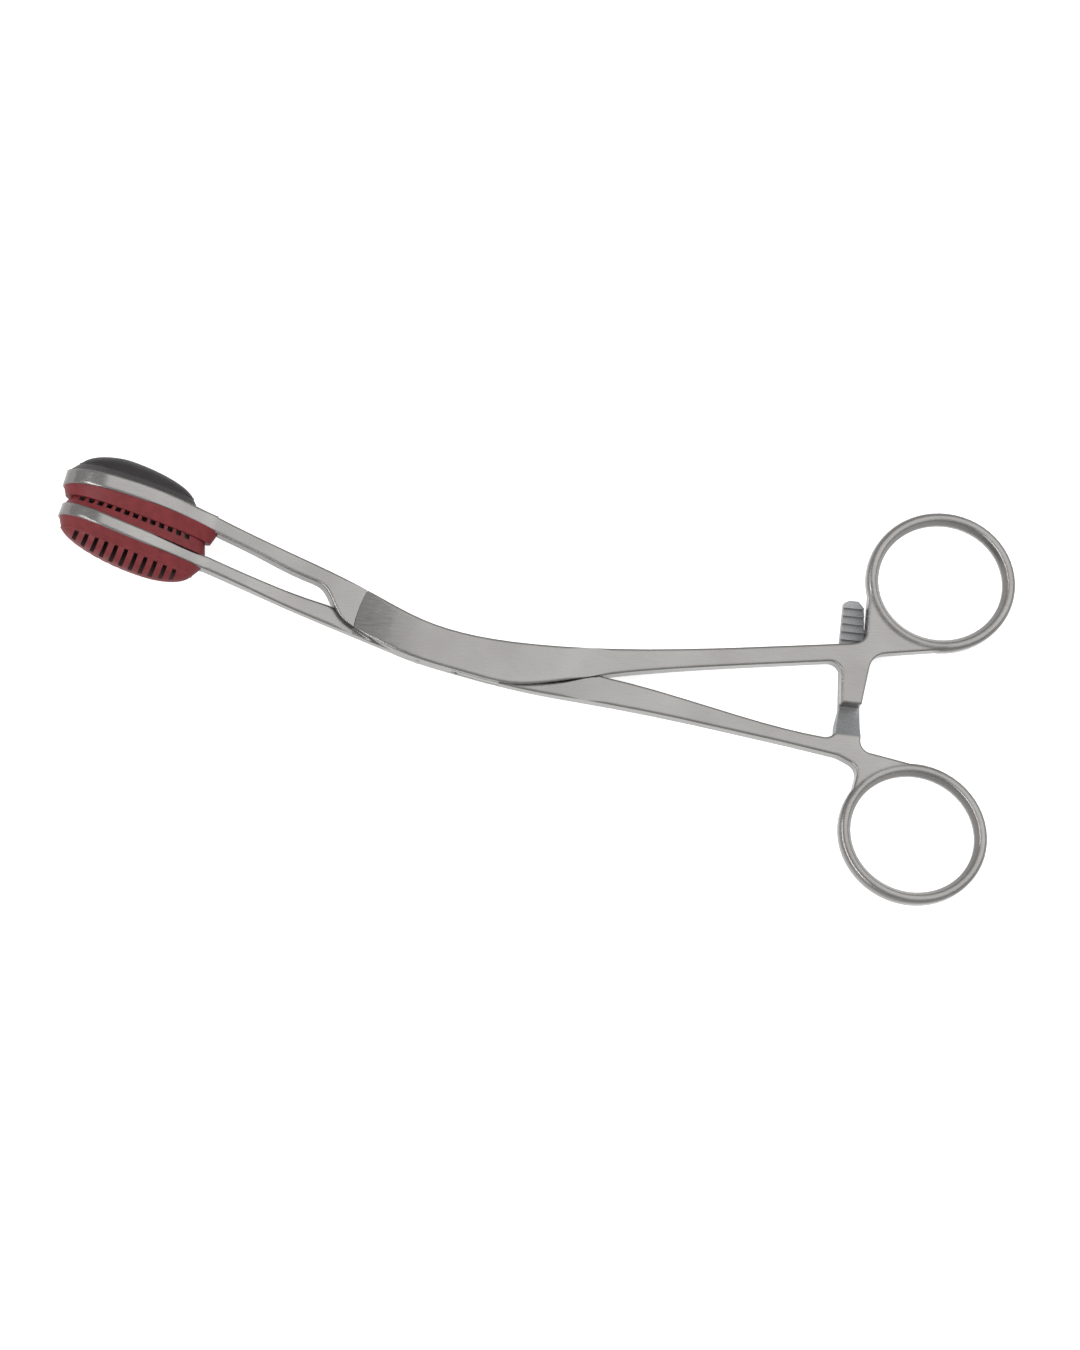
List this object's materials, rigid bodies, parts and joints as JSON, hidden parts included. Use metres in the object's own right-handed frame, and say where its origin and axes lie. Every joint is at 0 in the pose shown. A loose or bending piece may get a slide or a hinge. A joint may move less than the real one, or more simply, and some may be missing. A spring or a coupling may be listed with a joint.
{
  "type": "tongue forceps",
  "caption": "Tongue forceps with a box lock, curved shanks, finger rings, a ratchet and oval ring jaws that hold ribbed rubber pads.",
  "frame": {"origin": "where the pivot axis meets the rear face of the box lock", "axes": "+X from the pivot toward the finger rings, +Y toward the upper ring, +Z out of the front face along the pivot axis"},
  "size_m": [0.1721, 0.0715, 0.0114],
  "materials": {
    "instrument_steel": "satin, fine grain",
    "upper_rubber": "matt, dark crown",
    "lower_rubber": "matt"
  },
  "bodies": {
    "box_body": {"box_half": "instrument_steel", "lower_pad": "lower_rubber", "pivot_pin": "instrument_steel"},
    "through_body": {"through_half": "instrument_steel", "upper_pad": "upper_rubber"}
  },
  "joints": [
    {"name": "box_lock_pivot", "type": "hinge", "parent": "box_body", "child": "through_body", "pos_m": [0, 0, 0.002], "axis": [0, 0, -1], "range_deg": [0, 28]}
  ]
}
